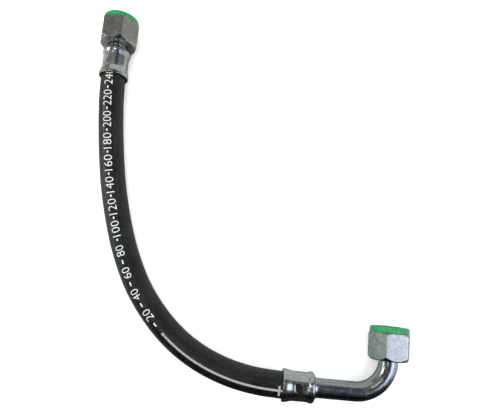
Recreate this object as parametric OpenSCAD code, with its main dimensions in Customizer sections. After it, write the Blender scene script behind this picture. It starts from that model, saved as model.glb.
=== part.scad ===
// Hydraulic hose assembly: a two-wire-braid rubber hose with a crimped straight
// swivel fitting at one end and a crimped 90 degree swivel elbow at the other.
// Both ports face +Y and are closed by push-in thread plugs.
// It lies on the plane z = 0, on the two swivel nuts and the belly of the hose.

/* [Hose] */
// Bore of the hose, half-inch nominal
hose_bore_d = 12.7; // [12.2:0.1:13.2]
// Wall of the rubber inner tube
inner_tube_wall = 2; // [1.6:0.1:2.2]
// Thickness of each steel wire braid
braid_wall = 0.6; // [0.5:0.05:0.7]
// Rubber layer that keeps the two braids apart
insulating_wall = 0.3; // [0.2:0.05:0.5]
// Rubber cover over the outer braid
cover_wall = 1.15; // [0.9:0.05:1.3]

/* [Crimped ferrules] */
// Length of a ferrule
ferrule_len = 28.5; // [27:0.5:32]
// How far the hose is pushed into a ferrule
hose_grip = 22.5; // [21.5:0.5:24]
// Length of the bell mouth that eases into the crimp
bell_len = 9; // [7:0.5:10]
// Length of the crimped barrel
crimp_len = 12; // [10:0.5:12]
// Size across the crimp flats at the straight end
straight_crimp_af = 22.4; // [22:0.1:23.4]
// Size across the crimp flats at the elbow end
elbow_crimp_af = 23; // [22:0.1:23.4]
// Wall of the crimped barrel at a flat
crimp_wall = 1.7; // [1.5:0.05:1.8]
// Jaw marks round a ferrule
crimp_jaws = 8; // [6:1:10]
// How far the ridges between the jaw marks stand over the flats
crimp_ridge = 0.45; // [0.3:0.05:0.6]
// Wall of the ferrule where it isn't crimped
mouth_wall = 1.9; // [1.6:0.1:2.2]
// Length of the plain rim at the mouth
rim_len = 1.6; // [1.4:0.1:2.4]
// Lead-in chamfer inside the rim
lead_in = 1; // [0.6:0.1:1.1]
// Radial gap between the hose and the bell mouth
mouth_gap = 0.4; // [0.3:0.05:0.6]
// How far the ring behind the crimp stands over the flats
collar_rise = 1.3; // [0.8:0.1:1.6]
// Length of that ring along its full height
collar_len = 1.6; // [1:0.1:2]
// How far the grip teeth bite into the hose cover
tooth_bite = 0.35; // [0.2:0.05:0.5]
// Grip teeth inside a ferrule
tooth_count = 4; // [3:1:4]
// Depth of the groove that locks a ferrule to its insert
lock_depth = 0.9; // [0.6:0.1:1.2]
// Width of that groove
lock_len = 2.2; // [1.8:0.1:2.4]

/* [Inserts and elbow tube] */
// Outside diameter of the necks and of the elbow tube
tube_d = 16; // [15:0.1:16.4]
// Wall of the elbow tube
tube_wall = 2; // [1.8:0.1:2.2]
// Oil passage through the inserts
insert_bore_d = 9.5; // [8.5:0.1:10]
// Barbs on an insert's tail
barb_count = 6; // [4:1:7]
// How far the barbs stand over the bore of the hose
barb_rise = 0.35; // [0.2:0.05:0.5]
// Neck length between the straight ferrule and its nut
straight_neck = 3.5; // [3:0.5:10]
// From the elbow ferrule's mouth to the axis of the elbow port
elbow_run = 88; // [80:1:110]
// From the axis of the elbow tube to the open end of its nut
elbow_rise = 50.4; // [48:0.2:70]
// Centre-line radius of the elbow bend
bend_r = 27.5; // [22:0.5:28]
// Length of the spigots inside the elbow tube
spigot_len = 4; // [3:0.5:5]
// Depth of the braze chamfers
braze = 0.7; // [0.5:0.1:1]

/* [Swivel nuts] */
// Size across the spanner flats
nut_af = 32; // [31:0.5:34]
// Length of a nut
nut_len = 22.5; // [21:0.5:25]
// Thread bore, the minor diameter of a G 3/4 thread
thread_bore_d = 24.12; // [24:0.02:24.4]
// Thread major diameter, which the entry chamfer clears
thread_major_d = 26.44; // [26.4:0.01:26.8]
// Thickness of the inner flange that the cone head pulls on
nut_flange = 4.4; // [4:0.1:5]
// Radial clearance of the nut on its neck
swivel_clear = 0.08; // [0.05:0.01:0.1]
// End play of the nut against the cone head
end_play = 0.35; // [0.3:0.05:0.5]
// Corner chamfer on the hose side, measured inwards from the corners
back_chamfer = 2.9; // [2.6:0.1:3.4]
// Corner chamfer on the port side, measured inwards from the corners
front_chamfer = 1.7; // [1.2:0.1:3]
// Angle of both chamfers to the nut's end faces
chamfer_angle = 50; // [30:1:55]
// Turn of the straight nut from lying on a flat
straight_roll = -6; // [-8:0.5:8]
// Turn of the elbow nut from lying on a flat
elbow_roll = 6; // [-8:0.5:8]

/* [Cone heads] */
// Diameter of the head behind the sealing cone
head_d = 23.4; // [22.6:0.1:23.6]
// Length of the head's cylindrical land
head_land = 1.2; // [0.8:0.1:1.6]
// Diameter of the 60 degree cone at its base
cone_d = 20.6; // [20:0.1:20.8]
// Length of the cone along its axis
cone_len = 5; // [4.5:0.1:5]
// Thickness of the seal ring in the cone
seal_d = 2; // [1.8:0.1:2.2]
// How far the seal ring stands out of the cone
seal_squeeze = 0.35; // [0.2:0.05:0.4]

/* [Thread plugs] */
// Diameter of a plug's grip flange
plug_flange_d = 32.4; // [32:0.1:36]
// Thickness of the grip flange
plug_flange_len = 4.7; // [4:0.1:6]
// Length of a plug's shank
plug_shank_len = 7; // [6:0.1:7.2]
// Wall of the hollow shank
plug_wall = 1.3; // [1:0.1:1.3]
// Radial clearance of the shank in the thread bore
plug_clear = 0.06; // [0.04:0.01:0.1]
// Gap between the grip flange and the nut
plug_seat_gap = 0.1; // [0:0.05:0.3]
// Grip notches round the flange
plug_notches = 24; // [12:2:36]
// Depth of a grip notch
plug_notch = 0.5; // [0.3:0.1:0.7]

/* [Hidden] */
$fn = 96;

// The free stretch of the hose, from the mouth of the straight ferrule to the
// mouth of the elbow ferrule. The middle of it rests on the plane z = 0.
route = [
    [-133, 107, 16.9], [-132, 87.5, 16.7], [-130, 68, 16.2], [-127.5, 48.5, 15.3],
    [-124.5, 29, 14.2], [-121, 9.5, 13], [-116.5, -9.5, 12], [-111, -28.5, 11.25],
    [-104.5, -47, 11], [-96.5, -65, 11], [-87, -82.3, 11], [-75.5, -98.2, 11],
    [-62.5, -112.6, 11], [-47.5, -125.5, 11.25], [-31, -135.9, 12], [-13, -143.8, 13.2],
    [6, -149.2, 14.8], [25.5, -152.1, 16.2], [45, -153, 16.9]
];
hose_sides = 12;

// Radii of the hose layers, from the bore outwards
bore_r = hose_bore_d / 2;
inner_tube_r = bore_r + inner_tube_wall;
inner_braid_r = inner_tube_r + braid_wall;
insulating_r = inner_braid_r + insulating_wall;
outer_braid_r = insulating_r + braid_wall;
cover_r = outer_braid_r + cover_wall;

// Ferrule stations, measured from the mouth towards the port
crimp_end = bell_len + crimp_len;
collar_start = crimp_end + 1.5;
lock_start = hose_grip + 1.5;
lock_end = lock_start + lock_len;
neck_start = hose_grip + 0.2;
neck_r = tube_d / 2;
lock_r = neck_r - lock_depth;
neck_clear = 0.1;
tail_tip = 1;
weld_z = lock_end + braze + 0.3;

// Nut stations, measured from the nut's hose-side face towards the port
nut_corner_r = nut_af / sqrt(3);
nut_bore_r = neck_r + swivel_clear;
thread_r = thread_bore_d / 2;
head_back = nut_flange + end_play;
head_r = head_d / 2;
land_start = head_back + head_r - neck_r;
land_end = land_start + head_land;
cone_tip = land_end + cone_len;
cone_slope = tan(30);
straight_nut_z = ferrule_len + straight_neck;
elbow_nut_z = elbow_rise - nut_len;
tube_bore_r = neck_r - tube_wall;
spigot_r = tube_bore_r - 0.05;
insert_bore_r = insert_bore_d / 2;

// Seal ring, half way along the cone
seal_z = land_end + cone_len / 2;
seal_r = cone_d / 2 - cone_slope * cone_len / 2 - seal_d / 2 + seal_squeeze;

// Places of the two ends
straight_mouth = route[0];
elbow_mouth = route[len(route) - 1];

function crimp_bore(crimp_af) = crimp_af / 2 - crimp_wall;
function unit(v) = v / norm(v);
// An ease from 1 down to 0 as t goes from 0 to 1
function ease(t) = (1 + cos(180 * t)) / 2;

// --- hose sweep ---

straight_stations = [hose_grip, bell_len];
path = concat(
    [for (d = straight_stations) straight_mouth + [0, d, 0]],
    route,
    [for (d = [bell_len, hose_grip]) elbow_mouth + [d, 0, 0]]
);
last = len(path) - 1;
crimped = len(straight_stations);

// How much of the hose wall's thickness is left at each ring of the sweep
function squeeze_to(crimp_af) = (crimp_bore(crimp_af) - bore_r) / (cover_r - bore_r);
function squeeze(i) =
    i < crimped ? squeeze_to(straight_crimp_af) :
    i > last - crimped ? squeeze_to(elbow_crimp_af) : 1;
function layer_r(r, i) = bore_r + (r - bore_r) * squeeze(i);

function heading(i) = unit(path[min(i + 1, last)] - path[max(i - 1, 0)]);
function ring_points(i, r) =
    let (side = unit(cross(heading(i), [0, 0, 1])), up = cross(side, heading(i)))
    [for (k = [0 : hose_sides - 1]) let (a = 360 * k / hose_sides)
        path[i] + layer_r(r, i) * (cos(a) * side + sin(a) * up)];
function wall_points(r) = [for (i = [0 : last]) each ring_points(i, r)];
// Two triangles for each facet of a wall whose points start at number first
function wall_faces(first, outward) = [
    for (i = [0 : last - 1], k = [0 : hose_sides - 1])
        let (
            a = first + i * hose_sides + k,
            b = first + i * hose_sides + (k + 1) % hose_sides,
            c = b + hose_sides,
            d = a + hose_sides
        )
        each outward ? [[a, b, c], [a, c, d]] : [[a, c, b], [a, d, c]]
];
// The flat ring that closes the wall at ring i, between the outer and inner points
function end_faces(i, inner, outward) = [
    for (k = [0 : hose_sides - 1])
        let (
            a = i * hose_sides + k,
            b = i * hose_sides + (k + 1) % hose_sides,
            c = inner + b,
            d = inner + a
        )
        each outward ? [[a, c, b], [a, d, c]] : [[a, b, c], [a, c, d]]
];

module hose_layer(inner_wall_r, outer_wall_r) {
    inner = (last + 1) * hose_sides;
    polyhedron(
        points = concat(wall_points(outer_wall_r), wall_points(inner_wall_r)),
        faces = concat(
            wall_faces(0, true), wall_faces(inner, false),
            end_faces(0, inner, true), end_faces(last, inner, false)
        )
    );
}

// --- frames of the two ends ---

// Turns local +Z, the way out of the hose, to the straight port's +Y
module at_straight_mouth() {
    translate(straight_mouth) rotate([-90, 0, 0]) children();
}
module at_elbow_mouth() {
    translate(elbow_mouth) rotate([0, 90, 0]) children();
}
module at_straight_nut() {
    at_straight_mouth() translate([0, 0, straight_nut_z]) children();
}
// Local +Z runs up the elbow port's axis from the nut's hose-side face
module at_elbow_nut() {
    translate(elbow_mouth + [elbow_run, elbow_nut_z, 0]) rotate([-90, 0, 0]) children();
}

// --- ferrule ---

bell_steps = 8;
collar_steps = 6;
shoulder_steps = 8;

// The rolled outside: bell mouth, barrel, collar ring and rounded shoulder
module ferrule_outside(crimp_af) {
    barrel_r = crimp_af / 2 + crimp_ridge;
    mouth_r = cover_r + mouth_gap + mouth_wall;
    collar_r = crimp_af / 2 + collar_rise;
    tip_r = neck_r + 0.6;
    shoulder_start = collar_start + collar_len;
    shoulder_len = ferrule_len - shoulder_start;
    rotate_extrude() polygon(concat(
        [[0, 0], [mouth_r - 0.4, 0], [mouth_r, 0.4]],
        [for (s = [0 : bell_steps]) let (t = s / bell_steps)
            [barrel_r + (mouth_r - barrel_r) * ease(t), rim_len + (bell_len - rim_len) * t]],
        [for (s = [0 : collar_steps]) let (t = s / collar_steps)
            [collar_r + (barrel_r - collar_r) * ease(t), crimp_end + (collar_start - crimp_end) * t]],
        [for (s = [0 : shoulder_steps]) let (a = 90 * s / shoulder_steps)
            [tip_r + (collar_r - tip_r) * cos(a), shoulder_start + shoulder_len * sin(a)]],
        [[0, ferrule_len]]
    ));
}

// The jaws press the barrel flat on every side
module crimp_flats(crimp_af) {
    difference() {
        translate([0, 0, bell_len]) cylinder(r = crimp_af, h = crimp_len);
        translate([0, 0, bell_len - 1]) rotate(180 / crimp_jaws)
            cylinder(r = crimp_af / 2 / cos(180 / crimp_jaws), h = crimp_len + 2, $fn = crimp_jaws);
    }
}

// The inside: bell, grip teeth, room for the hose end, lock lip and neck hole
module ferrule_inside(crimp_af) {
    bore = crimp_bore(crimp_af);
    mouth = cover_r + mouth_gap;
    tooth_pitch = crimp_len / tooth_count;
    tooth_r = bore - tooth_bite;
    lip_r = lock_r + neck_clear;
    hole_r = neck_r + neck_clear;
    rotate_extrude() polygon(concat(
        [[0, -1], [mouth + lead_in, -1], [mouth + lead_in, 0], [mouth, lead_in]],
        [for (s = [0 : bell_steps]) let (t = s / bell_steps)
            [bore + (mouth - bore) * ease(t), rim_len + (bell_len - rim_len) * t]],
        [for (n = [0 : tooth_count - 1]) let (z = bell_len + (n + 0.5) * tooth_pitch)
            each [[bore, z - 0.9], [tooth_r, z - 0.4], [tooth_r, z + 0.4], [bore, z + 0.5]]],
        [
            [bore, hose_grip + 0.6],
            [hole_r, lock_start + neck_clear],
            [lip_r, lock_start + neck_clear],
            [lip_r, lock_end - neck_clear],
            [hole_r, lock_end - neck_clear],
            [hole_r, ferrule_len + 1],
            [0, ferrule_len + 1]
        ]
    ));
}

module ferrule(crimp_af) {
    difference() {
        ferrule_outside(crimp_af);
        crimp_flats(crimp_af);
        ferrule_inside(crimp_af);
    }
}

// --- insert parts ---

// Barbed tail and locked neck, up to the height top
module insert_tail(top) {
    barb_pitch = (hose_grip - 4 - tail_tip) / barb_count;
    crest_r = bore_r + barb_rise;
    root_r = bore_r - 0.1;
    rotate_extrude() polygon(concat(
        [[insert_bore_r, tail_tip], [root_r - 0.5, tail_tip], [root_r, tail_tip + 0.8]],
        [for (n = [0 : barb_count - 1]) let (z = tail_tip + 1 + n * barb_pitch)
            each [[root_r, z], [crest_r, z + barb_pitch * 0.7], [root_r, z + barb_pitch * 0.8]]],
        [
            [root_r, neck_start],
            [neck_r, neck_start],
            [neck_r, lock_start],
            [lock_r, lock_start],
            [lock_r, lock_end],
            [neck_r, lock_end],
            [neck_r, top],
            [insert_bore_r, top]
        ]
    ));
}

// Ring cut for a braze, with its middle at height z. It runs on a hair past the tube's
// outside, with the same 45 degree flanks as the braze.
module braze_cut(z) {
    past = 0.01;
    rotate_extrude() polygon([
        [neck_r + past, z - braze - past], [neck_r + past, z + braze + past], [neck_r - braze, z]
    ]);
}

// The braze itself, flush with the tube
module braze_ring(z) {
    rotate_extrude() polygon([
        [neck_r, z - braze], [neck_r, z + braze], [neck_r - braze, z]
    ]);
}

// 45 degree shoulder, land and 60 degree cone, from the nut's hose-side face
module cone_head_profile() {
    cone_r = cone_d / 2;
    polygon([
        [insert_bore_r, head_back],
        [neck_r, head_back],
        [head_r, land_start],
        [head_r, land_end],
        [cone_r, land_end],
        [cone_r - cone_slope * cone_len, cone_tip],
        [insert_bore_r + 0.5, cone_tip],
        [insert_bore_r, cone_tip - 0.5]
    ]);
}

// Groove that holds the seal ring
module seal_groove() {
    width = seal_d + 0.3;
    floor_r = seal_r - seal_d / 2 - 0.05;
    rotate_extrude() translate([floor_r, seal_z - width / 2]) square([cone_d, width]);
}

module cone_head() {
    difference() {
        rotate_extrude() cone_head_profile();
        seal_groove();
    }
}

module cone_seal() {
    translate([0, 0, seal_z]) rotate_extrude() translate([seal_r, 0]) circle(d = seal_d, $fn = 32);
}

// --- swivel nut ---

module nut_blank() {
    back_r = nut_corner_r - back_chamfer;
    front_r = nut_corner_r - front_chamfer;
    outer_r = nut_corner_r + 0.1;
    slope = tan(chamfer_angle);
    intersection() {
        cylinder(r = nut_corner_r, h = nut_len, $fn = 6);
        rotate_extrude() polygon([
            [0, 0], [back_r, 0],
            [outer_r, (outer_r - back_r) * slope],
            [outer_r, nut_len - (outer_r - front_r) * slope],
            [front_r, nut_len], [0, nut_len]
        ]);
    }
}

module nut() {
    entry_r = thread_major_d / 2 + 0.2;
    difference() {
        nut_blank();
        rotate_extrude() polygon([
            [0, -1], [nut_bore_r + 1.4, -1], [nut_bore_r + 0.4, 0], [nut_bore_r, 0.4],
            [nut_bore_r, nut_flange],
            [thread_r, nut_flange + thread_r - nut_bore_r],
            [thread_r, nut_len - entry_r + thread_r],
            [entry_r, nut_len],
            [entry_r, nut_len + 1],
            [0, nut_len + 1]
        ]);
    }
}

// --- thread plug ---

plug_base = nut_len + plug_seat_gap;
plug_top = plug_base + plug_flange_len;
plug_shank_r = thread_r - plug_clear;
plug_web_z = plug_base;
plug_web = 1.6;
plug_recess_r = plug_shank_r - plug_wall - 0.4;

module plug_body() {
    flange_r = plug_flange_d / 2;
    shank_end = nut_len - plug_shank_len;
    rotate_extrude() polygon(concat(
        [
            [plug_shank_r - plug_wall, shank_end],
            [plug_shank_r - 0.5, shank_end],
            [plug_shank_r, shank_end + 1.5],
            [plug_shank_r, plug_base],
            [flange_r - 0.4, plug_base],
            [flange_r, plug_base + 0.4]
        ],
        [for (a = [0 : 22.5 : 90])
            [flange_r - 1.4 + 1.4 * cos(a), plug_top - 1.4 + 1.4 * sin(a)]],
        [
            [plug_recess_r + 0.6, plug_top],
            [plug_recess_r, plug_top - 0.6],
            [plug_recess_r, plug_web_z + plug_web],
            [0, plug_web_z + plug_web],
            [0, plug_web_z],
            [plug_shank_r - plug_wall, plug_web_z]
        ]
    ));
}

// Bar across the recess, to pull the plug out by
module plug_bar() {
    bar = [2 * plug_recess_r + plug_wall, 2.4, plug_top - 1 - plug_web_z - plug_web / 2];
    translate([-bar.x / 2, -bar.y / 2, plug_web_z + plug_web / 2]) cube(bar);
}

module plug() {
    notch_r = 1.2;
    difference() {
        union() {
            plug_body();
            plug_bar();
        }
        for (n = [0 : plug_notches - 1])
            rotate(360 * (n + 0.5) / plug_notches)
                translate([plug_flange_d / 2 + notch_r - plug_notch, 0, plug_base - 1])
                    cylinder(r = notch_r, h = plug_flange_len + 2, $fn = 24);
    }
}

// --- elbow tube ---

module tube_section() {
    difference() {
        circle(r = neck_r);
        circle(r = tube_bore_r);
    }
}

// From the insert's end face, round the bend, to the back of the cone head
module elbow_pipe() {
    first_leg = elbow_run - bend_r - weld_z;
    last_leg = elbow_nut_z + head_back - bend_r;
    translate(elbow_mouth) {
        translate([weld_z, 0, 0]) rotate([0, 90, 0]) linear_extrude(first_leg) tube_section();
        translate([elbow_run - bend_r, bend_r, 0]) rotate(-90)
            rotate_extrude(angle = 90) translate([bend_r, 0]) tube_section();
        translate([elbow_run, bend_r, 0]) rotate([-90, 0, 0])
            linear_extrude(last_leg) tube_section();
    }
}

// --- nodes ---

module hose_inner_tube() { color("#26262a") hose_layer(bore_r, inner_tube_r); }
module hose_inner_braid() { color("#8d8a80") hose_layer(inner_tube_r, inner_braid_r); }
module hose_insulating_layer() { color("#3a3a3e") hose_layer(inner_braid_r, insulating_r); }
module hose_outer_braid() { color("#9b988e") hose_layer(insulating_r, outer_braid_r); }
module hose_cover() { color("#2b2c30") hose_layer(outer_braid_r, cover_r); }

module straight_insert() {
    color("silver") difference() {
        union() {
            at_straight_mouth() insert_tail(straight_nut_z + head_back);
            at_straight_nut() rotate_extrude() cone_head_profile();
        }
        at_straight_nut() seal_groove();
    }
}
module straight_ferrule() { color("#a9aeab") at_straight_mouth() ferrule(straight_crimp_af); }
module straight_nut() { color("#8a8a80") at_straight_nut() rotate(straight_roll) nut(); }
module straight_cone_seal() { color("#1b1b1b") at_straight_nut() cone_seal(); }
module straight_plug() { color("#1ea05a") at_straight_nut() rotate(straight_roll) plug(); }

module elbow_insert() {
    color("silver") at_elbow_mouth() difference() {
        union() {
            insert_tail(weld_z);
            translate([0, 0, weld_z]) difference() {
                cylinder(r = spigot_r, h = spigot_len);
                translate([0, 0, -1]) cylinder(r = insert_bore_r, h = spigot_len + 2);
            }
        }
        braze_cut(weld_z);
    }
}
module elbow_tube() {
    color("#9fa5a6") difference() {
        elbow_pipe();
        at_elbow_mouth() braze_cut(weld_z);
        at_elbow_nut() braze_cut(head_back);
    }
}
module elbow_cone_head() {
    color("silver") at_elbow_nut() difference() {
        union() {
            cone_head();
            translate([0, 0, head_back - spigot_len]) cylinder(r = spigot_r, h = spigot_len);
        }
        translate([0, 0, head_back - spigot_len - 1])
            cylinder(r = insert_bore_r, h = spigot_len + cone_tip);
        braze_cut(head_back);
    }
}
module elbow_insert_braze() { color("#b87333") at_elbow_mouth() braze_ring(weld_z); }
module elbow_head_braze() { color("#b87333") at_elbow_nut() braze_ring(head_back); }
module elbow_ferrule() { color("#a9aeab") at_elbow_mouth() ferrule(elbow_crimp_af); }
module elbow_nut() { color("#8a8a80") at_elbow_nut() rotate(elbow_roll) nut(); }
module elbow_cone_seal() { color("#1b1b1b") at_elbow_nut() cone_seal(); }
module elbow_plug() { color("#1ea05a") at_elbow_nut() rotate(elbow_roll) plug(); }

hose_inner_tube();
hose_inner_braid();
hose_insulating_layer();
hose_outer_braid();
hose_cover();
straight_insert();
straight_ferrule();
straight_nut();
straight_cone_seal();
straight_plug();
elbow_insert();
elbow_tube();
elbow_cone_head();
elbow_insert_braze();
elbow_head_braze();
elbow_ferrule();
elbow_nut();
elbow_cone_seal();
elbow_plug();
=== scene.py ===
"""Looks of the hydraulic hose assembly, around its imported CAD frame.

Sizes are in millimetres until a mesh is made of them, in metres. Lights, floors and camera are in metres. Each
ferrule, nut and plug is made in its own frame, with Z along its axis, away from the hose.
"""

import math

import bmesh
import bpy
from mathutils import Matrix, Vector


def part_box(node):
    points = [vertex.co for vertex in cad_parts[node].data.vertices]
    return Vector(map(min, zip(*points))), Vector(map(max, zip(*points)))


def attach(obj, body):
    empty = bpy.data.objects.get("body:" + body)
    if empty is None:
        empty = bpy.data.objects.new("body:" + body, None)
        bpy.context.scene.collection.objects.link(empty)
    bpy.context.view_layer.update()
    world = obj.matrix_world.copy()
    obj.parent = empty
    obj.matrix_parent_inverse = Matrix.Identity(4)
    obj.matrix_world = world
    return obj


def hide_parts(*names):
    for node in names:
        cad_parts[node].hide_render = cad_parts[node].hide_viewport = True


MM = 0.001
UP = Vector((0, 0, 1))
NORMAL_WEIGHT = 60

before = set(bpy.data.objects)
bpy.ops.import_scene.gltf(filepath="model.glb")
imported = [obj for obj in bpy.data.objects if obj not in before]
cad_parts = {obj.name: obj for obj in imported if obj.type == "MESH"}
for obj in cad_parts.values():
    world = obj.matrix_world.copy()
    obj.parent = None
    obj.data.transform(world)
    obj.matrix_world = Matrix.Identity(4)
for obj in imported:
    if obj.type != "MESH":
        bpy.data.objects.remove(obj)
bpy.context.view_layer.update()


# --- small tools ---


def ease(t):
    """From 1 down to 0 as t goes from 0 to 1."""
    return (1 + math.cos(math.pi * min(max(t, 0), 1))) / 2


def rounded(corners):
    """The points (r, z) of a profile whose corners are (r, z, fillet, steps). A curve in that many steps takes
    the place of a corner, from that far before it to that far after it. No steps leave it sharp."""
    points = []
    for i, (r, z, fillet, steps) in enumerate(corners):
        here = Vector((r, z))
        if not steps:
            points.append(here)
            continue
        before = Vector(corners[i - 1][:2]) - here
        after = Vector(corners[(i + 1) % len(corners)][:2]) - here
        start = here + before.normalized() * fillet
        end = here + after.normalized() * fillet
        for t in (n / steps for n in range(steps + 1)):
            points.append(start * (1 - t) ** 2 + here * 2 * t * (1 - t) + end * t * t)
    return points


def basis(origin, z_axis, x_axis):
    """The matrix of a frame with that origin, in metres, and those axes."""
    z, x = Vector(z_axis), Vector(x_axis)
    matrix = Matrix((x, z.cross(x), z)).transposed().to_4x4()
    matrix.translation = origin
    return matrix


def place_of(node, z_axis, x_axis):
    """The frame on the axis of a CAD node, at its end towards the hose."""
    low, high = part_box(node)
    z = Vector(z_axis)
    middle = (low + high) / 2
    return basis(middle - z * (high - low).dot(z) / 2, z_axis, x_axis)


def new_object(name, data, matrix=Matrix()):
    """Puts a mesh, curve, camera or light in the scene."""
    obj = bpy.data.objects.new(name, data)
    bpy.context.scene.collection.objects.link(obj)
    obj.matrix_world = matrix
    return obj


def skin(name, rings, matrix=Matrix(), uv=None):
    """A closed smooth mesh through rings of points, the last joined to the first. uv(i, k) is the place of
    point k of ring i on the surface, in millimetres."""
    rows, count = len(rings), len(rings[0])
    verts = [Vector(p) * MM for ring in rings for p in ring]
    cells = [(i, k) for i in range(rows) for k in range(count)]
    corners = [[(i, k), (i, k + 1), (i + 1, k + 1), (i + 1, k)] for i, k in cells]
    mesh = bpy.data.meshes.new(name)
    faces = [[i % rows * count + k % count for i, k in face] for face in corners]
    mesh.from_pydata(verts, [], faces)
    if uv:
        places = [c * MM for face in corners for i, k in face for c in uv(i, k)]
        mesh.uv_layers.new(name="surface").data.foreach_set("uv", places)
    return smooth_object(name, mesh, matrix)


def outward(mesh):
    """Turns every face's front to the outside, and shades the mesh smooth."""
    bm = bmesh.new()
    bm.from_mesh(mesh)
    bmesh.ops.recalc_face_normals(bm, faces=bm.faces)
    bm.to_mesh(mesh)
    bm.free()
    mesh.shade_smooth()


def smooth_object(name, mesh, matrix):
    """Puts a mesh in the scene, shaded so that its flats look flat right up to their rounded edges."""
    outward(mesh)
    obj = new_object(name, mesh, matrix)
    obj.modifiers.new("weighted_normals", "WEIGHTED_NORMAL").weight = NORMAL_WEIGHT
    return obj


def tube_uv(places, r, sides):
    """The uv() of a tube whose outer wall runs along places and whose inner wall runs back."""
    there_and_back = [*places, *reversed(places), places[0]]
    return lambda i, k: (there_and_back[i], k * 2 * math.pi * r / sides)


def lathe(name, profile_at, angles, matrix, roll=0):
    """A mesh round the local Z axis. profile_at(angle) is its closed profile there, always as many points. The
    whole of it is then turned by roll. Angles are in degrees."""
    rings = []
    for angle in angles:
        c, s = math.cos(math.radians(angle + roll)), math.sin(math.radians(angle + roll))
        rings.append([(r * c, r * s, z) for r, z in profile_at(angle)])
    return skin(name, rings, matrix)


def dress(obj, body, slot, material, *nodes):
    """Puts a finished piece on its body, in its material, in the place of its CAD nodes."""
    obj.data.materials.append(material)
    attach(obj, body)
    if nodes:
        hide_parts(*nodes)
    return obj


# --- camera ---

CAMERA_PLACE = (0.01167, -0.07879, 0.38422)
CAMERA_TURN = 5
CAMERA_TIP = 8.785


def make_camera():
    """Close above the assembly, looking down, turned and tipped a few degrees."""
    turn, tip = math.radians(CAMERA_TURN), math.radians(CAMERA_TIP)
    right = Vector((math.cos(turn), math.sin(turn), 0))
    back = Vector((math.sin(turn) * math.sin(tip), -math.cos(turn) * math.sin(tip), math.cos(tip)))
    data = bpy.data.cameras.new("camera")
    data.lens = 30.24
    data.sensor_width = 36
    data.shift_y = 0.0347
    data.clip_start = 0.01
    camera = new_object("camera", data, basis(CAMERA_PLACE, back, right))
    bpy.context.scene.camera = camera


# --- hose ---

HOSE_R = 11
COVER_INNER_R = 9.85
BORE_R = 6.35
HOSE_GRIP = 22.5
BELL_LEN = 9
STRAIGHT_CRIMP_AF = 22.4
ELBOW_CRIMP_AF = 23
CRIMP_WALL = 1.7
# The free stretch, from the mouth of the straight ferrule to the mouth of the elbow ferrule
ROUTE = [
    (-133, 107, 16.9), (-132, 87.5, 16.7), (-130, 68, 16.2), (-127.5, 48.5, 15.3),
    (-124.5, 29, 14.2), (-121, 9.5, 13), (-116.5, -9.5, 12), (-111, -28.5, 11.25),
    (-104.5, -47, 11), (-96.5, -65, 11), (-87, -82.3, 11), (-75.5, -98.2, 11),
    (-62.5, -112.6, 11), (-47.5, -125.5, 11.25), (-31, -135.9, 12), (-13, -143.8, 13.2),
    (6, -149.2, 14.8), (25.5, -152.1, 16.2), (45, -153, 16.9),
]


class Line:
    """A smooth line (Catmull-Rom) through points. Places on it are distances from the mouth of the straight
    ferrule, so the first point is at -before, and the mouth of the elbow ferrule at free_end."""

    def __init__(self, points, before):
        knots = [Vector(p) for p in points]
        knots = [2 * knots[0] - knots[1], *knots, 2 * knots[-1] - knots[-2]]
        steps = 12
        self.points = [knots[1]]
        for a, b, c, d in zip(knots, knots[1:], knots[2:], knots[3:]):
            for t in (n / steps for n in range(1, steps + 1)):
                point = b + (c - a) * t / 2 + (2 * a - 5 * b + 4 * c - d) * t * t / 2
                self.points.append(point + (3 * b - a - 3 * c + d) * t**3 / 2)
        self.places = [-before]
        for a, b in zip(self.points, self.points[1:]):
            self.places.append(self.places[-1] + (b - a).length)
        self.end = self.places[-1]
        self.free_end = self.end - before

    def at(self, place):
        """The centre there, with the directions to the outer side of the curve and up."""
        n = next((n for n, s in enumerate(self.places) if s > place), len(self.places) - 1)
        n = max(n, 1)
        share = (place - self.places[n - 1]) / (self.places[n] - self.places[n - 1])
        centre = self.points[n - 1].lerp(self.points[n], share)
        low, high = self.heading(n - 1), self.heading(n)
        ahead = low.lerp(high, share).normalized()
        side = ahead.cross(UP).normalized()
        return centre, side, side.cross(ahead)

    def heading(self, n):
        """The line's direction at its point n."""
        after, before = self.points[min(n + 1, len(self.points) - 1)], self.points[max(n - 1, 0)]
        return (after - before).normalized()

    def outside_r(self, place):
        """The hose's radius there: it is squeezed inside the ferrules."""
        if place < self.free_end / 2:
            depth, crimp_af = -place, STRAIGHT_CRIMP_AF
        else:
            depth, crimp_af = place - self.free_end, ELBOW_CRIMP_AF
        bore = crimp_af / 2 - CRIMP_WALL
        return bore + (HOSE_R - bore) * ease(depth / BELL_LEN)

    def on_surface(self, place, angle, proud):
        """The point that far outside the cover, at an angle in radians from its top, to the outer side."""
        centre, side, up = self.at(place)
        r = self.outside_r(place) + proud
        return centre + r * (math.sin(angle) * side + math.cos(angle) * up)


def hose_line():
    """The hose's centre line, with its ends inside the ferrules."""
    start, end = Vector(ROUTE[0]), Vector(ROUTE[-1])
    before = [start + Vector((0, d, 0)) for d in (HOSE_GRIP, BELL_LEN)]
    after = [end + Vector((d, 0, 0)) for d in (BELL_LEN, HOSE_GRIP)]
    return Line([*before, *ROUTE, *after], HOSE_GRIP)


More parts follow.
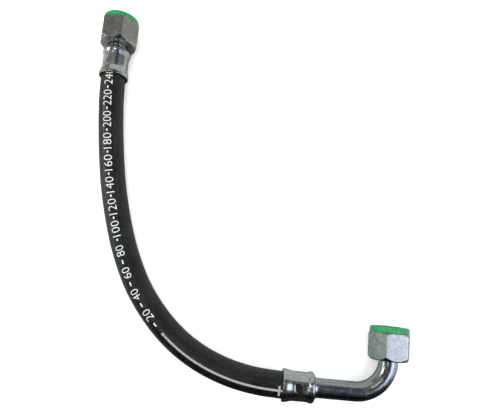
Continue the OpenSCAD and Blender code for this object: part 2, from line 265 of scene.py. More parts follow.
def make_hose(line, material):
    """The cover, as a tube with its real wall."""
    sides, ring_gap = 64, 3
    count = round((line.end + HOSE_GRIP) / ring_gap)
    places = [-HOSE_GRIP + (line.end + HOSE_GRIP) * n / count for n in range(count + 1)]
    walls = []
    for share in (1, (COVER_INNER_R - BORE_R) / (HOSE_R - BORE_R)):
        rings = []
        for place in places:
            proud = (BORE_R - line.outside_r(place)) * (1 - share)
            rings.append([line.on_surface(place, 2 * math.pi * k / sides, proud) for k in range(sides)])
        walls.append(rings)
    outer, inner = walls
    tube = skin("hose_cover_tube", outer + inner[::-1], uv=tube_uv(places, HOSE_R, sides))
    return dress(tube, "hose_assembly", "cover_rubber", material, "hose_cover")


# --- marks printed on the hose ---

PAINT_RISE = 0.06
PAINT_SINK = 0.1
# How far apart the marks are cut, along the hose and round it
MARK_CUTS = (3.0, 0.7)
# Degrees from the top of the hose, near the straight end and near the elbow
PRINT_ANGLES = (1, 15)
TWIST_START = 100
TWIST_LEN = 110
FIGURE_HEIGHT = 7.4
FIGURE_PITCH = 4.9
FIGURE_FILL = 0.97
STROKE_THINNING = 0.012
DASH_HALF_HEIGHT = 0.65
# By the count of figures in the number after the dash
DASH_HALF_LENGTH = {2: 1.8, 3: 1.1}
SCALE_ZERO = 244
SCALE_STEP = 20
SCALE_LAST = 240
LAY_LINE_START = -243
LAY_LINE_HALF_WIDTH = 0.95
LAY_LINE_GRIP = 3
HEAD_LEN = 2
HEAD_HALF_WIDTH = 1.25
CROSS_STROKE = (1.5, 3.3)
CROSS_STROKE_REACH = (-4, 5.5)


def print_angle(place):
    """The angle of the print from the top of the hose, in radians: the hose is twisted a little."""
    first, last = PRINT_ANGLES
    return math.radians(first + (last - first) * (1 - ease((place - TWIST_START) / TWIST_LEN)))


def lettering(text, height, pitch):
    """Plain figures as a flat mesh round the origin, that tall and that far apart."""
    curve = bpy.data.curves.new("figures", "FONT")
    curve.body = text
    curve.align_x = "CENTER"
    curve.resolution_u = 4
    curve.offset = -STROKE_THINNING
    helper = new_object("figures_helper", curve)
    bpy.context.view_layer.update()
    mesh = bpy.data.meshes.new_from_object(helper.evaluated_get(bpy.context.evaluated_depsgraph_get()))
    bpy.data.objects.remove(helper)
    xs, ys = [v.co.x for v in mesh.vertices], [v.co.y for v in mesh.vertices]
    across = len(text) * pitch / (max(xs) - min(xs)) * FIGURE_FILL
    tall = height / (max(ys) - min(ys))
    middle_x, middle_y = (max(xs) + min(xs)) / 2, (max(ys) + min(ys)) / 2
    for v in mesh.vertices:
        v.co = ((v.co.x - middle_x) * across, (v.co.y - middle_y) * tall, 0)
    return mesh


def add_bar(bm, x0, x1, y0, y1):
    """Adds a flat bar to marks that are still flat."""
    bm.faces.new([bm.verts.new((x, y, 0)) for x, y in ((x0, y0), (x1, y0), (x1, y1), (x0, y1))])


def wrap_marks(name, bm, line, angle_of):
    """Lays flat marks on the hose, as a thin skin of paint. Their x is the distance from the straight ferrule's
    mouth with its sign changed, so that figures read towards that end, and their y is the distance over the
    cover from the line that angle_of(place) follows. They are cut first, so that they can bend with it."""
    for axis, step in enumerate(MARK_CUTS):
        values = [v.co[axis] for v in bm.verts]
        cut = math.ceil(min(values) / step) * step
        while cut < max(values):
            at, normal = Vector((0, 0, 0)), Vector((0, 0, 0))
            at[axis], normal[axis] = cut, 1
            everything = bm.verts[:] + bm.edges[:] + bm.faces[:]
            bmesh.ops.bisect_plane(bm, geom=everything, plane_co=at, plane_no=normal)
            cut += step
    solid = bmesh.ops.extrude_face_region(bm, geom=bm.faces[:], use_keep_orig=True)
    for v in solid["geom"]:
        if isinstance(v, bmesh.types.BMVert):
            v.co.z = PAINT_RISE
    for v in bm.verts:
        proud = v.co.z or -PAINT_SINK
        v.co = line.on_surface(-v.co.x, angle_of(-v.co.x) + v.co.y / HOSE_R, proud) * MM
    mesh = bpy.data.meshes.new(name)
    bm.to_mesh(mesh)
    bm.free()
    outward(mesh)
    return new_object(name, mesh)


def make_length_scale(line, material):
    """A plain scale in millimetres, counted from where the long line starts, with dashes in between."""
    bm = bmesh.new()
    for number in range(SCALE_STEP, SCALE_LAST + 1, SCALE_STEP):
        mesh = lettering(str(number), FIGURE_HEIGHT, FIGURE_PITCH)
        mesh.transform(Matrix.Translation((number - SCALE_ZERO, 0, 0)))
        bm.from_mesh(mesh)
        bpy.data.meshes.remove(mesh)
        half = DASH_HALF_LENGTH[len(str(number))]
        middle = number - SCALE_STEP / 2 - SCALE_ZERO
        add_bar(bm, middle - half, middle + half, -DASH_HALF_HEIGHT, DASH_HALF_HEIGHT)
    return dress(wrap_marks("length_scale", bm, line, print_angle), "hose_assembly", None, material)


def make_lay_line(line, material):
    """A long line that shows twist, with a thick start and a small cross stroke near the elbow's ferrule."""
    head_end = LAY_LINE_START - HEAD_LEN
    mouth = -line.free_end
    bm = bmesh.new()
    add_bar(bm, head_end, LAY_LINE_START, -HEAD_HALF_WIDTH, HEAD_HALF_WIDTH)
    add_bar(bm, mouth - LAY_LINE_GRIP, head_end, -LAY_LINE_HALF_WIDTH, LAY_LINE_HALF_WIDTH)
    add_bar(bm, mouth + CROSS_STROKE[0], mouth + CROSS_STROKE[1], *CROSS_STROKE_REACH)
    return dress(wrap_marks("lay_line", bm, line, print_angle), "hose_assembly", None, material)


# --- crimped ferrules ---

FERRULE_LEN = 28.5
RIM_LEN = 1.6
CRIMP_END = 21
COLLAR_START = 22.2
SHOULDER_START = 24.1
SHOULDER_LEN = 2.9
MOUTH_R = 13.3
MOUTH_BORE_R = 11.4
LEAD_IN = 1
NECK_R = 8
HOLE_R = 8.1
LIP_R = 7.2
LIP = (24.1, 26.1)
CRIMP_RIDGE = 0.45
COLLAR_RISE = 1.3
COLLAR_FOOT_DROP = 0.28
COLLAR_MIDDLE_DROP = 0.1
TIP_WALL = 0.6
TIP_STEP = 0.3
TOOTH_BITE = 0.35
TEETH = 4
JAWS = 8
RELIEF_LEN = 0.75
RELIEF_RISE = 2
# The rows of the outside: the bell, then the barrel, close together where a jaw flat starts and ends
BELL_ROWS = (1.6, 2.4, 3.2, 4, 4.8, 5.6, 6.4, 7.2, 7.8, 8.3)
BARREL_ROWS = (
    8.7, 8.9, 9.05, 9.2, 9.4, 9.7, 10.2, 11.5, 13.5, 15.5, 17.5,
    19.3, 19.9, 20.25, 20.5, 20.7, 20.9, 21.05, 21.2,
)
JAW_MARKS = (-19.5, -16.6, -15.4, -12, -8, -4, 0, 4, 8, 12, 15.4, 16.6, 19.5, 22.5)


def make_ferrule(name, crimp_af, matrix, material, node):
    """The crimped shell: eight jaw flats between ridges, bell mouth, collar and rounded shoulder. Inside are
    its grip teeth and the lip that locks it to the insert."""
    flat_r = crimp_af / 2
    barrel_r = flat_r + CRIMP_RIDGE
    collar_r = flat_r + COLLAR_RISE
    bore = flat_r - CRIMP_WALL
    tip_r = NECK_R + TIP_WALL

    def bell(z, inner, outer):
        """The radius at z of a wall that goes from outer at the mouth to inner along the barrel."""
        return inner + (outer - inner) * ease((z - RIM_LEN) / (BELL_LEN - RIM_LEN))

    outside = rounded([
        (MOUTH_BORE_R, LEAD_IN, 0.2, 2), (MOUTH_BORE_R + LEAD_IN, 0, 0.1, 2),
        (MOUTH_R, 0, 0.45, 4), (MOUTH_R, RIM_LEN, 0, 0),
    ])[:-1]
    outside += [(bell(z, barrel_r, MOUTH_R), z) for z in BELL_ROWS + BARREL_ROWS]
    foot_r = collar_r - COLLAR_FOOT_DROP
    for t in (0.35, 0.5, 0.65, 0.8, 0.9, 1):
        outside.append((foot_r + (barrel_r - foot_r) * ease(t), CRIMP_END + (COLLAR_START - CRIMP_END) * t))
    outside.append((collar_r - COLLAR_MIDDLE_DROP, (COLLAR_START + SHOULDER_START) / 2))
    dome_r = tip_r + TIP_STEP
    for turn in (math.radians(a) for a in range(0, 91, 9)):
        dome_z = SHOULDER_START + SHOULDER_LEN * math.sin(turn)
        outside.append((dome_r + (collar_r - dome_r) * math.cos(turn), dome_z))
    outside += [
        (tip_r, SHOULDER_START + SHOULDER_LEN + 0.2), (tip_r, FERRULE_LEN - 0.25), (tip_r - 0.2, FERRULE_LEN),
    ]
    inside = [
        (HOLE_R, FERRULE_LEN), (HOLE_R, LIP[1]), (LIP_R, LIP[1]), (LIP_R, LIP[0]), (HOLE_R, LIP[0]),
        (bore, HOSE_GRIP + 0.6),
    ]
    pitch = (CRIMP_END - BELL_LEN) / TEETH
    tooth_r = bore - TOOTH_BITE
    for n in reversed(range(TEETH)):
        z = BELL_LEN + (n + 0.5) * pitch
        inside += [(bore, z + 0.5), (tooth_r, z + 0.4), (tooth_r, z - 0.4), (bore, z - 0.9)]
    inside += [(bell(z, bore, MOUTH_BORE_R), z) for z in (9, 8, 7, 6, 5, 4, 3, 1.8)]

    def flats_r(angle, z):
        """Where the jaw flats are, with a steep rise where they end."""
        off = (angle + 180 / JAWS) % (360 / JAWS) - 180 / JAWS
        inside_by = min(z - BELL_LEN, CRIMP_END - z)
        if inside_by < 0:
            return MOUTH_R
        return flat_r / math.cos(math.radians(off)) + RELIEF_RISE * max(1 - inside_by / RELIEF_LEN, 0) ** 2

    def profile_at(angle):
        return [(min(r, flats_r(angle, z)), z) for r, z in outside] + inside

    angles = [jaw * 360 / JAWS + off for jaw in range(JAWS) for off in JAW_MARKS]
    dress(lathe(name, profile_at, angles, matrix), "hose_assembly", "ferrule_steel", material, node)


def make_inspection_mark(matrix, material):
    """A painted reflection: a slanted black stroke on the top jaw flat, where a dark thing shows mirrored in
    the flat.
    """
    across, length, slant, wobble, steps = 5, 8.4, 4, 0.25, 8
    from_mouth, sink, rise = 13.4, -PAINT_SINK, 0.04
    flat_r = ELBOW_CRIMP_AF / 2
    turned = Matrix.Rotation(math.radians(180), 4, "Z")
    verts = []
    for n in range(steps + 1):
        t = n / steps
        middle = from_mouth + (t - 0.5) * slant + wobble * math.sin(9 * t)
        half = across / 2 * (min(4 * min(t, 1 - t), 1) ** 0.5 * 0.35 + 0.65)
        for proud, side in ((sink, -1), (rise, -1), (rise, 1), (sink, 1)):
            verts.append(turned @ Vector((flat_r + proud, (t - 0.5) * length, middle + side * half)) * MM)
    faces = [(a, a + 1, a + 5, a + 4) for n in range(steps) for a in (4 * n, 4 * n + 1, 4 * n + 2)]
    faces += [(4 * n + 3, 4 * n, 4 * n + 4, 4 * n + 7) for n in range(steps)]
    faces += [(0, 1, 2, 3), tuple(4 * steps + k for k in range(4))]
    mesh = bpy.data.meshes.new("painted_reflection_mark")
    mesh.from_pydata(verts, [], faces)
    outward(mesh)
    dress(new_object("painted_reflection_mark", mesh, matrix), "hose_assembly", None, material)


# --- swivel nuts ---

NUT_AF = 32
NUT_LEN = 22.5
NUT_BORE_R = 8.08
NUT_FLANGE = 4.4
COUNTERSINK = (0.95, 1.7)
THREAD_R = 12.06
THREAD_PITCH = 25.4 / 14
THREAD_DEPTH = 1.162
THREAD_SPAN = (8.4, NUT_LEN - 0.1)
THREAD_ROWS = 84
FADE_START = 8.5
FADE_LEN = 2
ENTRY_R = 13.42
BACK_R = 15.575
FRONT_R = 16.775
CHAMFER_SLOPE = math.tan(math.radians(50))
LEAST_CHAMFER = 0.2
CORNER_FILLET = 0.45
CORNER_MARKS = (
    0, 0.35, 0.72, 1.8, 5.5, 10.5, 15.5, 20.5, 25.5, 30, 34.5, 39.5, 44.5, 49.5, 54.5, 58.2, 59.28, 59.65,
)
STRAIGHT_ROLL = -6
ELBOW_ROLL = 6


def hexagon_r(angle):
    """The radius of the nut's outline at an angle in degrees from a corner."""
    flat, fillet = NUT_AF / 2, CORNER_FILLET
    off = math.radians(abs((angle + 30) % 60 - 30))
    from_flat = math.radians(30) - off
    centre = (flat - fillet) / math.cos(math.radians(30))
    if math.tan(from_flat) < (flat - fillet) * math.tan(math.radians(30)) / flat:
        return flat / math.cos(from_flat)
    return centre * math.cos(off) + math.sqrt(fillet**2 - (centre * math.sin(off)) ** 2)


def thread_at(z, angle):
    """The radius of the thread's wall. Its groove fades out at the bottom, and on top is the entry chamfer."""
    groove = 0.5 - 0.5 * math.cos(2 * math.pi * (z / THREAD_PITCH - angle / 360))
    fade = 1 - ease((z - FADE_START) / FADE_LEN)
    return max(THREAD_R + THREAD_DEPTH * groove * fade, ENTRY_R - (NUT_LEN - z))


def make_nut(name, matrix, roll, body, material, node):
    """A hexagon nut, chamfered at both ends and threaded inside. Its flange runs behind the cone head."""
    low, high = THREAD_SPAN
    thread_z = [low + (high - low) * (1 - n / THREAD_ROWS) for n in range(THREAD_ROWS + 1)]
    sink_width, sink_depth = COUNTERSINK

    def profile_at(angle):
        r = hexagon_r(angle)
        front_drop = max((r - FRONT_R) * CHAMFER_SLOPE, LEAST_CHAMFER)
        # The corner at THREAD_R only holds the place of the thread's wall
        shape = rounded([
            (NUT_BORE_R, sink_depth, 0.1, 1), (NUT_BORE_R + sink_width, 0, 0.1, 1),
            (BACK_R, 0, 0.25, 2), (r, (r - BACK_R) * CHAMFER_SLOPE, 0.5, 4),
            (r, NUT_LEN - front_drop, 0.09, 2), (min(FRONT_R, r - LEAST_CHAMFER), NUT_LEN, 0.09, 2),
            (ENTRY_R, NUT_LEN, 0, 0), (THREAD_R, thread_z[-1], 0, 0), (NUT_BORE_R, NUT_FLANGE, 0.15, 1),
        ])
        wall = [(thread_at(z, angle), z) for z in thread_z]
        bottom = next(i for i, p in enumerate(shape) if abs(p[0] - THREAD_R) < 1e-6)
        return shape[:bottom] + wall + shape[bottom + 1:]

    angles = [60 * corner + off for corner in range(6) for off in CORNER_MARKS]
    dress(lathe(name, profile_at, angles, matrix, roll), body, "nut_steel", material, node)


# --- thread plugs ---

PLUG_FLANGE_R = 16.2
PLUG_BASE = NUT_LEN + 0.1
PLUG_TOP = PLUG_BASE + 4.7
SHANK_R = 12
SHANK_END = NUT_LEN - 7
PLUG_WALL = 1.3
RECESS_R = 10.3
WEB_TOP = PLUG_BASE + 1.6
NOTCHES = 24
NOTCH_DEPTH = 0.5
NOTCH_R = 1.2
NOTCH_MARKS = (0, 2.6, 4.2, 4.5, 5.3, 6.4, 7.5, 8.6, 9.7, 10.5, 10.8, 12.4)
BAR_TOP = PLUG_TOP - 1
BAR_WIDTH = 2.4
BAR_ENDS_SINK = 0.3
BAR_FOOT_SINK = 0.8
BAR_FILLET = 0.5


def make_plug(name, matrix, roll, body, material, node):
    """A push-in plug: hollow shank, grip flange with notches round its edge, recess with a bar to pull by."""
    inner_r = SHANK_R - PLUG_WALL
    shape = rounded([
        (inner_r, SHANK_END, 0.3, 2), (SHANK_R - 0.5, SHANK_END, 0.2, 2), (SHANK_R, SHANK_END + 1.5, 0.5, 2),
        (SHANK_R, PLUG_BASE, 0.1, 1), (PLUG_FLANGE_R, PLUG_BASE, 0.4, 3), (PLUG_FLANGE_R, PLUG_TOP, 1.4, 6),
        (RECESS_R, PLUG_TOP, 0.6, 3), (RECESS_R, WEB_TOP, 0.4, 2), (0, WEB_TOP, 0, 0),
        (0, PLUG_BASE, 0, 0), (inner_r, PLUG_BASE, 0.3, 2),
    ])
    notch_at = PLUG_FLANGE_R + NOTCH_R - NOTCH_DEPTH
    pitch = 360 / NOTCHES

    def profile_at(angle):
        off = math.radians((angle % pitch) - pitch / 2)
        reach = NOTCH_R**2 - (notch_at * math.sin(off)) ** 2
        limit = notch_at * math.cos(off) - math.sqrt(reach) if reach > 0 else PLUG_FLANGE_R
        return [(min(r, limit), z) for r, z in shape]

    angles = [pitch * n + off for n in range(NOTCHES) for off in NOTCH_MARKS]
    dress(lathe(name, profile_at, angles, matrix, roll), body, "plug_plastic", material, node)
    size = Vector((2 * RECESS_R + 2 * BAR_ENDS_SINK, BAR_WIDTH, BAR_TOP - WEB_TOP + BAR_FOOT_SINK))
    bar = rounded_block(name + "_bar", size, (0, 0, BAR_TOP - size.z / 2), BAR_FILLET, matrix, roll)
    dress(bar, body, "plug_plastic", material)


def rounded_block(name, size, centre, fillet, matrix, roll):
    """A block with rounded edges, turned by roll round the Z axis."""
    bm = bmesh.new()
    bmesh.ops.create_cube(bm, size=1)
    bmesh.ops.scale(bm, vec=size, verts=bm.verts)
    bmesh.ops.translate(bm, vec=Vector(centre), verts=bm.verts)
    bmesh.ops.bevel(bm, geom=bm.edges[:], offset=fillet, segments=3, profile=0.5, affect="EDGES")
    bmesh.ops.scale(bm, vec=(MM, MM, MM), verts=bm.verts)
    bmesh.ops.rotate(bm, matrix=Matrix.Rotation(math.radians(roll), 3, "Z"), verts=bm.verts)
    mesh = bpy.data.meshes.new(name)
    bm.to_mesh(mesh)
    bm.free()
    return smooth_object(name, mesh, matrix)


# --- elbow tube ---

TUBE_R = 8
TUBE_BORE_R = 6
BEND_R = 27.5


def make_elbow_tube(material):
    """From the insert inside the ferrule, round the bend, to the cone head inside the nut."""
    low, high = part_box("elbow_tube")
    start = Vector((low.x, low.y, (low.z + high.z) / 2)) / MM + Vector((0, TUBE_R, 0))
    end = Vector((high.x, high.y, (low.z + high.z) / 2)) / MM - Vector((TUBE_R, 0, 0))
    turn_at = Vector((end.x - BEND_R, start.y + BEND_R, start.z))
    run, rise = turn_at.x - start.x, end.y - turn_at.y
    run_steps, bend_steps, rise_steps, sides = 12, 32, 3, 56
    stations = [(start + Vector((run * n / run_steps, 0, 0)), 0) for n in range(run_steps + 1)]
    for n in range(1, bend_steps + 1):
        turn = math.radians(90 * n / bend_steps)
        stations.append((turn_at + Vector((math.sin(turn), -math.cos(turn), 0)) * BEND_R, turn))
    for n in range(1, rise_steps + 1):
        stations.append((turn_at + Vector((BEND_R, rise * n / rise_steps, 0)), math.pi / 2))
    rings, places = [], [0]
    for r in (TUBE_R, TUBE_BORE_R):
        wall = []
        for centre, turn in stations:
            side = Vector((math.sin(turn), -math.cos(turn), 0))
            wall.append([
                centre + r * (math.sin(a) * side + math.cos(a) * UP)
                for a in (2 * math.pi * k / sides for k in range(sides))
            ])
        rings += wall if r == TUBE_R else wall[::-1]
    for (a, _), (b, _) in zip(stations, stations[1:]):
        places.append(places[-1] + (b - a).length)
    tube = skin("elbow_bent_tube", rings, uv=tube_uv(places, TUBE_R, sides))
    dress(tube, "hose_assembly", "tube_steel", material, "elbow_tube")


# --- materials ---


class Look:
    """A node material around one Principled shader."""

    def __init__(self, name, **shader):
        self.material = bpy.data.materials.new(name)
        self.material.use_nodes = True
        self.tree = self.material.node_tree
        self.shader = self.tree.nodes["Principled BSDF"]
        for key, value in shader.items():
            socket = key.replace("_", " ").title().replace("Ior", "IOR")
            self.shader.inputs[socket].default_value = value
        self.places = self.tree.nodes.new("ShaderNodeTexCoord")

    def node(self, kind, inputs, **settings):
        """A new node. Each input is a value, or the output that feeds it."""
        node = self.tree.nodes.new("ShaderNode" + kind)
        for key, value in settings.items():
            setattr(node, key, value)
        for key, value in inputs.items():
            if isinstance(value, bpy.types.NodeSocket):
                self.tree.links.new(value, node.inputs[key])
            else:
                node.inputs[key].default_value = value
        return node

    def coords(self, scale=(1, 1, 1), by_surface=False):
        """Places on the piece, in metres, stretched by scale."""
        source = self.places.outputs["UV" if by_surface else "Object"]
        return self.node("Mapping", {"Vector": source, "Scale": scale}).outputs["Vector"]

    def noise(self, scale, detail=3, roughness=0.55, stretch=(1, 1, 1), by_surface=False, distortion=0.0):
        """Noise whose patches are about 1 / scale metres wide."""
        inputs = {
            "Vector": self.coords(stretch, by_surface), "Scale": scale, "Detail": detail,
            "Roughness": roughness, "Distortion": distortion,
        }
        return self.node("TexNoise", inputs).outputs["Fac"]

    def spread(self, value, low, high, to_low=0.0, to_high=1.0):
        """value taken from the range low to high into another range."""
        inputs = {"Value": value, "From Min": low, "From Max": high, "To Min": to_low, "To Max": to_high}
        return self.node("MapRange", inputs, clamp=True).outputs["Result"]

    def mix(self, share, first, second):
        """A colour between two colours. Either is an output or three numbers."""
        node = self.node("Mix", {0: share}, data_type="RGBA")
        for socket, value in ((node.inputs[6], first), (node.inputs[7], second)):
            if isinstance(value, bpy.types.NodeSocket):
                self.tree.links.new(value, socket)
            else:
                socket.default_value = (*value, 1)
        return node.outputs[2]

    def add(self, first, second):
        return self.node("Math", {0: first, 1: second}, operation="ADD").outputs[0]

    def times(self, first, second):
        return self.node("Math", {0: first, 1: second}, operation="MULTIPLY").outputs[0]

    def colour(self, output):
        self.tree.links.new(output, self.shader.inputs["Base Color"])

    def roughness(self, output):
        self.tree.links.new(output, self.shader.inputs["Roughness"])

    def bump(self, height, depth_mm):
        """Raises the surface by depth_mm where height is 1."""
        bump = self.node("Bump", {"Height": height, "Distance": depth_mm * MM, "Strength": 1.0})
        self.tree.links.new(bump.outputs["Normal"], self.shader.inputs["Normal"])


def tinted(colour, red, green, blue):
    """A colour with its channels taken down."""
    return colour[0] * red, colour[1] * green, colour[2] * blue


def zinc(name, light, dark, haze, rough, grain=(60, 60, 2600), by_surface=False, dents=0.012, speckle=0.25):
    """Zinc plate: clouded by its passivation film, speckled, with the lines that turning or drawing left under
    it. rough is the range of its roughness, grain stretches the lines, and dents is how deep its fine grains
    are, in millimetres."""
    look = Look(name, metallic=1.0)
    clouds = look.noise(170, 4, 0.6, distortion=0.6)
    patches = look.noise(59.5, 2, 0.5)
    lines = look.noise(1, 3, 0.6, stretch=grain, by_surface=by_surface)
    grains = look.noise(1150, 2, 0.6)
    specks = look.noise(2600, 2, 0.7)
    colour = look.mix(look.spread(clouds, 0.35, 0.68), dark, light)
    colour = look.mix(look.spread(patches, 0.42, 0.68, 0, 0.55), colour, haze)
    colour = look.mix(look.spread(grains, 0.42, 0.62, 0, speckle), colour, tinted(dark, 0.4, 0.4, 0.42))
    spots = look.spread(specks, 0.66, 0.75, 0, 0.35)
    look.colour(look.mix(spots, colour, tinted(dark, 0.5, 0.5, 0.5)))
    film = look.spread(clouds, 0.3, 0.7, *rough)
    look.roughness(look.add(film, look.spread(lines, 0.4, 0.7, 0, 0.08)))
    relief = look.add(look.spread(lines, 0.3, 0.7, 0, 0.006), look.times(specks, 0.004))
    look.bump(look.add(relief, look.spread(grains, 0.25, 0.75, 0, dents)), 1)
    return look.material


def rubber():
    """Cloth-wrapped black rubber: a fine weave print, dusty clouds and long scuffs."""
    look = Look("cover_rubber", metallic=0.0, specular_ior_level=0.5)
    cloth = look.noise(2200, 3, 0.6)
    dust = look.noise(620, 4, 0.7)
    clouds = look.noise(45, 3, 0.6)
    scuffs = look.noise(1, 3, 0.55, stretch=(60, 1500, 1), by_surface=True)
    colour = look.mix(look.spread(clouds, 0.38, 0.66), (0.0006, 0.0008, 0.0014), (0.0016, 0.002, 0.003))
    dusty = look.times(look.spread(dust, 0.5, 0.6), look.spread(clouds, 0.38, 0.62, 0.3, 1))
    colour = look.mix(look.times(dusty, 0.55), colour, (0.018, 0.0205, 0.026))
    scuffed = look.spread(scuffs, 0.64, 0.75, 0, 0.55)
    look.colour(look.mix(scuffed, colour, (0.03, 0.032, 0.036)))
    look.roughness(look.add(look.spread(clouds, 0.3, 0.7, 0.33, 0.42), look.times(dusty, 0.16)))
    look.bump(look.add(cloth, look.add(dust, look.spread(scuffs, 0.3, 0.7, 0, 0.5))), 0.03)
    return look.material


def plain_rubber(name, base):
    """Moulded black rubber, for the pieces inside."""
    look = Look(name, metallic=0.0, specular_ior_level=0.4)
    clouds = look.noise(400)
    look.colour(look.mix(look.spread(clouds, 0.35, 0.65), tinted(base, 0.6, 0.6, 0.6), base))
    look.roughness(look.spread(clouds, 0.3, 0.7, 0.45, 0.6))
    look.bump(look.noise(3000, 2), 0.01)
    return look.material


def plastic():
    """Green polyethylene, a little cloudy."""
    look = Look("plug_plastic", metallic=0.0, specular_ior_level=0.5)
    clouds = look.noise(140)
    grain = look.noise(3500, 2, 0.6)
    look.colour(look.mix(look.spread(clouds, 0.35, 0.68), (0.003, 0.16, 0.045), (0.006, 0.22, 0.067)))
    look.roughness(look.spread(look.noise(900), 0.3, 0.7, 0.3, 0.45))
    look.bump(grain, 0.012)
    return look.material


def paint(name, light, worn, cover=0.62, gloss=0.3, rough=(0.5, 0.65)):
    """Ink, or the black of the painted reflection on the elbow ferrule, worn through where its noise is above
    cover.
    """
    look = Look(name, metallic=0.0, specular_ior_level=gloss)
    wear = look.noise(900, 4, 0.65)
    look.colour(look.mix(look.spread(wear, cover, cover + 0.14), light, worn))
    look.roughness(look.spread(wear, 0.3, 0.7, *rough))
    look.bump(look.noise(3000, 2), 0.01)
    return look.material


def braid():
    """Brass-coated wires, laid aslant."""
    look = Look("braid_wire", metallic=1.0)
    bands = look.node("TexWave", {"Vector": look.coords(), "Scale": 600}, bands_direction="DIAGONAL")
    wires = bands.outputs["Fac"]
    look.colour(look.mix(wires, (0.35, 0.3, 0.2), (0.66, 0.6, 0.47)))
    look.roughness(look.spread(look.noise(500), 0.3, 0.7, 0.3, 0.45))
    look.bump(wires, 0.2)
    return look.material


def braze():
    """Brazing brass, darkened by the heat in places."""
    look = Look("braze_metal", metallic=1.0)
    clouds = look.noise(900, 4)
    look.colour(look.mix(look.spread(clouds, 0.35, 0.7), (0.42, 0.22, 0.08), (0.78, 0.52, 0.24)))
    look.roughness(look.spread(clouds, 0.3, 0.7, 0.25, 0.5))
    look.bump(clouds, 0.05)
    return look.material


def floor_look():
    """A nearly white table top."""
    look = Look("pale_floor", metallic=0.0, roughness=0.75, specular_ior_level=0.2)
    clouds = look.noise(6)
    look.colour(look.mix(look.spread(clouds, 0.3, 0.7), (0.86, 0.865, 0.87), (0.9, 0.902, 0.905)))
    look.bump(look.noise(700), 0.02)
    return look.material


def finish_node(name, material):
    """Gives a CAD node that stays in view a finished material."""
    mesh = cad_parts[name].data
    mesh.materials.clear()
    mesh.materials.append(material)


# --- stage and light ---

FLOOR_HALF = 4
# The glowing sheet that stands for the table in reflections: its height, its glow strength by Y (painted
# darkening to the front), and the reach and power of its painted shade under the assembly.
PAINTED_REFLECTION_HEIGHT = 0.0002
GLOW_FROM_FRONT = ((-0.175, 0.03), (-0.145, 0.7))
SHADE_REACH = 0.03
SHADE_POWER = 1.6


def make_floor(name, height, material):
    """A plane under the assembly."""
    mesh = bpy.data.meshes.new(name)
    half = FLOOR_HALF
    corners = [(-half, -half, height), (half, -half, height), (half, half, height), (-half, half, height)]
    mesh.from_pydata(corners, [], [(0, 1, 2, 3)])
    mesh.materials.append(material)
    floor = new_object(name, mesh)
    return floor


def table_glow():
    """A glow that the metal mirrors in place of the table, so a painted reflection of it: pale, with painted
    shade close under the assembly and painted darkening to the front.
    """
    material = bpy.data.materials.new("table_glow")
    material.use_nodes = True
    tree = material.node_tree
    glow = tree.nodes.new("ShaderNodeEmission")
    shade = tree.nodes.new("ShaderNodeAmbientOcclusion")
    shade.inputs["Distance"].default_value = SHADE_REACH
    shade.samples = 4
    places = tree.nodes.new("ShaderNodeTexCoord")
    parts = tree.nodes.new("ShaderNodeSeparateXYZ")
    front = tree.nodes.new("ShaderNodeMapRange")
    for end, (y, strength) in zip(("Min", "Max"), GLOW_FROM_FRONT):
        front.inputs["From " + end].default_value = y
        front.inputs["To " + end].default_value = strength
    power = tree.nodes.new("ShaderNodeMath")
    power.operation = "POWER"
    power.inputs[1].default_value = SHADE_POWER
    scale = tree.nodes.new("ShaderNodeMath")
    scale.operation = "MULTIPLY"
    glow.inputs["Color"].default_value = (0.93, 1, 0.93, 1)
    for source, target in (
        (places.outputs["Object"], parts.inputs[0]), (parts.outputs["Y"], front.inputs["Value"]),
        (shade.outputs["AO"], power.inputs[0]), (power.outputs[0], scale.inputs[0]),
        (front.outputs["Result"], scale.inputs[1]), (scale.outputs[0], glow.inputs["Strength"]),
        (glow.outputs[0], tree.nodes["Material Output"].inputs["Surface"]),
    ):
        tree.links.new(source, target)
    return material


def area_light(name, azimuth, zenith, distance, size, radiance, colour, glossy=True, diffuse=True):
    """A soft box that faces the object, and is as bright as radiance where a mirror shows it. azimuth is from
    +X towards +Y, zenith from straight up, both in degrees. Its first size is across, its second up the sky."""
    data = bpy.data.lights.new(name, "AREA")
    data.shape = "RECTANGLE"
    data.size, data.size_y = size
    data.energy = radiance * math.pi * size[0] * size[1]
    data.color = colour
    a, z = math.radians(azimuth), math.radians(zenith)
    way = Vector((math.sin(z) * math.cos(a), math.sin(z) * math.sin(a), math.cos(z)))
    across = Vector((-math.sin(a), math.cos(a), 0))
    light = new_object(name, data, basis(way * distance, way, across))
    light.visible_camera = False
    light.visible_glossy = glossy
    light.visible_diffuse = diffuse


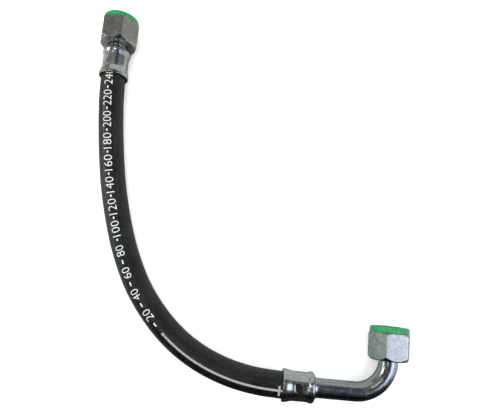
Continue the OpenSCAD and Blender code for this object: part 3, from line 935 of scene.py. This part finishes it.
def make_lights():
    """The ceiling and the world light the table. The cards are mostly there to be mirrored by the metal."""
    world = bpy.data.worlds.new("studio")
    bpy.context.scene.world = world
    world.use_nodes = True
    background = world.node_tree.nodes["Background"]
    background.inputs["Color"].default_value = (0.96, 0.98, 1, 1)
    background.inputs["Strength"].default_value = 0.95
    world.cycles_visibility.glossy = False
    area_light("ceiling", 90, 0, 1.5, (4, 4), 1.8, (1, 1, 1), glossy=False)
    area_light("dim_dome", 90, 0, 3, (7, 7), 0.045, (0.82, 0.9, 1), diffuse=False)
    area_light("key_right", -8, 46, 1.6, (1.1, 0.9), 3, (0.75, 0.82, 1), diffuse=False)
    area_light("low_right", -8, 83, 1.6, (1.1, 0.8), 1.6, (0.78, 0.84, 1), diffuse=False)
    area_light("spot_above", 108, 13, 1.8, (0.17, 0.17), 12, (1, 0.99, 0.96), diffuse=False)
    area_light("spot_left", 164, 57, 1.6, (0.4, 0.4), 9, (1, 1, 0.93), diffuse=False)
    area_light("spot_front", 222, 28, 1.6, (0.26, 0.26), 9, (0.96, 1, 0.98), diffuse=False)
    area_light("window_left", 187, 70, 1.6, (0.6, 0.5), 2.7, (0.8, 0.98, 1), diffuse=False)
    area_light("wall_left", 186, 80, 2, (0.9, 0.9), 0.8, (0.8, 0.98, 0.93))
    area_light("warm_wall", 138, 72, 2, (0.9, 0.6), 0.5, (1, 0.96, 0.8))
    area_light("wall_behind", 82, 68, 2, (2.6, 1.3), 0.7, (0.96, 1, 0.96))
    area_light("wall_right", 25, 82, 2, (2.2, 0.8), 0.4, (1, 0.98, 0.94))
    area_light("sky_behind", 115, 42, 2, (1.6, 1), 0.25, (1, 0.97, 0.9))


# --- making ---

bpy.context.scene.view_settings.view_transform = "Standard"
make_camera()

line = hose_line()
hose = make_hose(line, rubber())
ink = paint("print_white", (0.5, 0.51, 0.5), (0.1, 0.1, 0.105), 0.58)
line_ink = paint("print_grey", (0.22, 0.22, 0.21), (0.07, 0.07, 0.07), 0.56)
length_scale = make_length_scale(line, ink)
lay_line = make_lay_line(line, line_ink)

to_port = (0, 1, 0)
straight_mouth = place_of("straight_ferrule", to_port, (1, 0, 0))
elbow_mouth = place_of("elbow_ferrule", (1, 0, 0), (0, 0, -1))
straight_back = place_of("straight_nut", to_port, (1, 0, 0))
elbow_back = place_of("elbow_nut", to_port, (1, 0, 0))

ferrule_zinc = zinc(
    "ferrule_steel", (0.66, 0.68, 0.67), (0.48, 0.5, 0.49), (0.56, 0.57, 0.55), (0.18, 0.28),
    dents=0.006, speckle=0.3,
)
nut_zinc = zinc(
    "nut_steel", (0.54, 0.54, 0.52), (0.41, 0.41, 0.39), (0.465, 0.465, 0.43), (0.2, 0.34),
    grain=(900, 900, 60), dents=0.035, speckle=0.6,
)
tube_zinc = zinc(
    "tube_steel", (0.51, 0.525, 0.54), (0.365, 0.38, 0.4), (0.44, 0.45, 0.44), (0.18, 0.28),
    grain=(30, 2400, 1), by_surface=True, dents=0.014, speckle=0.35,
)
green = plastic()
make_ferrule("straight_crimped_ferrule", STRAIGHT_CRIMP_AF, straight_mouth, ferrule_zinc, "straight_ferrule")
make_ferrule("elbow_crimped_ferrule", ELBOW_CRIMP_AF, elbow_mouth, ferrule_zinc, "elbow_ferrule")
# Black for the painted reflection on the elbow ferrule's top jaw flat: a dark thing mirrored there, painted on.
painted_reflection_paint = paint("painted_reflection_black", (0.006, 0.006, 0.008), (0.02, 0.02, 0.022), gloss=0.1, rough=(0.75, 0.9))
make_inspection_mark(elbow_mouth, painted_reflection_paint)
make_nut("straight_swivel_nut", straight_back, STRAIGHT_ROLL, "straight_nut", nut_zinc, "straight_nut")
make_nut("elbow_swivel_nut", elbow_back, ELBOW_ROLL, "elbow_nut", nut_zinc, "elbow_nut")
make_plug("straight_port_plug", straight_back, STRAIGHT_ROLL, "straight_plug", green, "straight_plug")
make_plug("elbow_port_plug", elbow_back, ELBOW_ROLL, "elbow_plug", green, "elbow_plug")
make_elbow_tube(tube_zinc)

insert_zinc = zinc(
    "insert_steel", (0.64, 0.65, 0.64), (0.46, 0.47, 0.47), (0.58, 0.59, 0.57), (0.16, 0.28),
    grain=(50, 2600, 50),
)
liner = plain_rubber("liner_rubber", (0.012, 0.012, 0.013))
seal = plain_rubber("seal_rubber", (0.01, 0.01, 0.01))
wire, brazed = braid(), braze()
for node, material in {
    "hose_inner_tube": liner, "hose_inner_braid": wire,
    "hose_insulating_layer": liner, "hose_outer_braid": wire,
    "straight_insert": insert_zinc, "elbow_insert": insert_zinc, "elbow_cone_head": insert_zinc,
    "straight_cone_seal": seal, "elbow_cone_seal": seal,
    "elbow_insert_braze": brazed, "elbow_head_braze": brazed,
}.items():
    finish_node(node, material)

make_floor("floor", 0, floor_look()).visible_glossy = False
# A glowing sheet seen only in reflections: a painted reflection of the table, with painted shade under the
# assembly.
painted_reflection_glow = make_floor("painted_reflection_glow", PAINTED_REFLECTION_HEIGHT, table_glow())
painted_reflection_glow.visible_camera = painted_reflection_glow.visible_diffuse = painted_reflection_glow.visible_shadow = False
make_lights()
